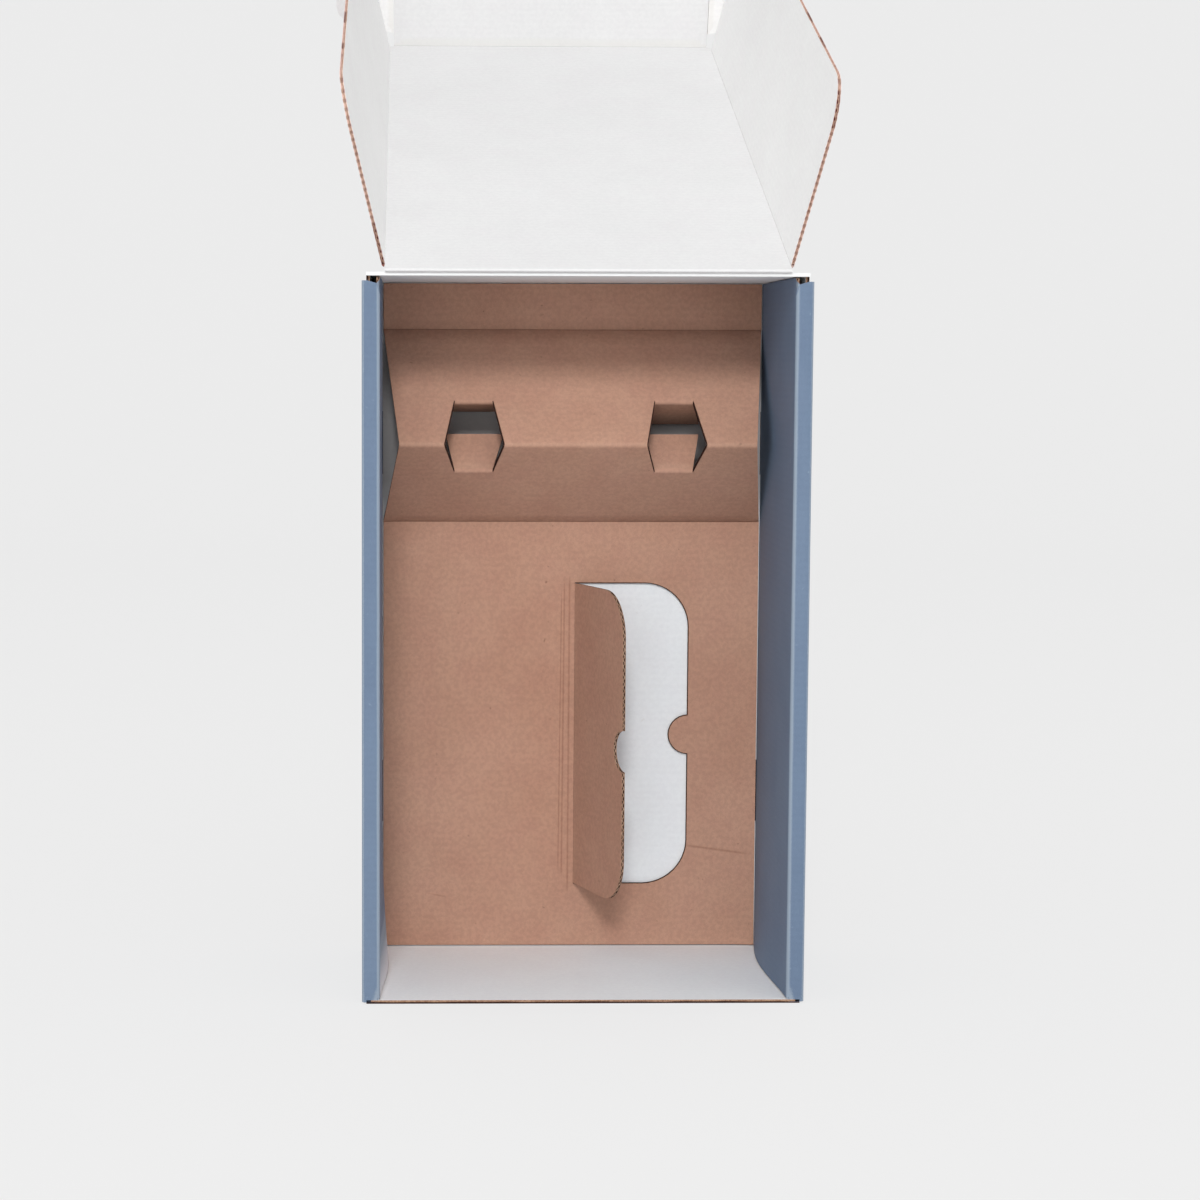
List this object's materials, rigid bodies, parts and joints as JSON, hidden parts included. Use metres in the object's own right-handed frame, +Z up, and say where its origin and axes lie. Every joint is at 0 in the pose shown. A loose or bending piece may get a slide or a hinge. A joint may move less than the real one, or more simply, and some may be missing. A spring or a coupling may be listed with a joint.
{
  "type": "bottle shipping box",
  "caption": "Corrugated mailer for two bottles: tray with rolled sides, hinged lid with wings and tuck flap, folded insert with neck holes and a divider flap.",
  "frame": {"origin": "middle of the front wall's outer face, on which the open box stands", "axes": "+Z up along the box's length, +X to the right, +Y from the open mouth towards the bottom panel"},
  "size_m": [0.24, 0.322, 0.5325],
  "materials": {
    "tray_board": "matte",
    "lid_board": "matte",
    "kraft_board": "matte"
  },
  "bodies": {
    "tray": {"tray": "tray_board", "insert": "kraft_board"},
    "divider": {"divider_flap": "kraft_board"},
    "lid": {"lid": "lid_board"},
    "left_wing": {"lid_wing_left": "lid_board"},
    "right_wing": {"lid_wing_right": "lid_board"},
    "tuck": {"tuck_flap": "lid_board"},
    "left_ear": {"tuck_ear_left": "lid_board"},
    "right_ear": {"tuck_ear_right": "lid_board"}
  },
  "joints": [
    {"name": "lid_hinge", "type": "hinge", "parent": "tray", "child": "lid", "pos_m": [0, -0.0522, 0.33085], "axis": [1, 0, 0], "range_deg": [-22, 245.6]},
    {"name": "left_wing_fold", "type": "hinge", "parent": "lid", "child": "left_wing", "pos_m": [-0.0902, 0.09318, 0.39768], "axis": [0, 0.9107, 0.4131], "range_deg": [-9.14, 97]},
    {"name": "right_wing_fold", "type": "hinge", "parent": "lid", "child": "right_wing", "pos_m": [0.0902, 0.09318, 0.39768], "axis": [0, 0.9107, 0.4131], "range_deg": [-95.5, 9.01]},
    {"name": "tuck_fold", "type": "hinge", "parent": "lid", "child": "tuck", "pos_m": [0, 0.24531, 0.46668], "axis": [1, 0, 0], "range_deg": [-1.35, 10]},
    {"name": "left_ear_fold", "type": "hinge", "parent": "tuck", "child": "left_ear", "pos_m": [-0.088, 0.239, 0.48566], "axis": [0, -0.3156, 0.9489], "range_deg": [-8.38, 88.5]},
    {"name": "right_ear_fold", "type": "hinge", "parent": "tuck", "child": "right_ear", "pos_m": [0.088, 0.239, 0.48566], "axis": [0, -0.3156, 0.9489], "range_deg": [-88.5, 8.38]},
    {"name": "divider_fold", "type": "hinge", "parent": "tray", "child": "divider", "pos_m": [0.0018, 0.0478, 0.1077], "axis": [0, 0, 1], "range_deg": [-25, 69]}
  ],
  "couplings": [
    {"joint": "left_wing_fold", "follows": "lid_hinge", "ratio": 0.39292},
    {"joint": "right_wing_fold", "follows": "lid_hinge", "ratio": -0.38681},
    {"joint": "tuck_fold", "follows": "lid_hinge", "ratio": 0.038681},
    {"joint": "left_ear_fold", "follows": "lid_hinge", "ratio": 0.35831},
    {"joint": "right_ear_fold", "follows": "lid_hinge", "ratio": -0.35831}
  ]
}
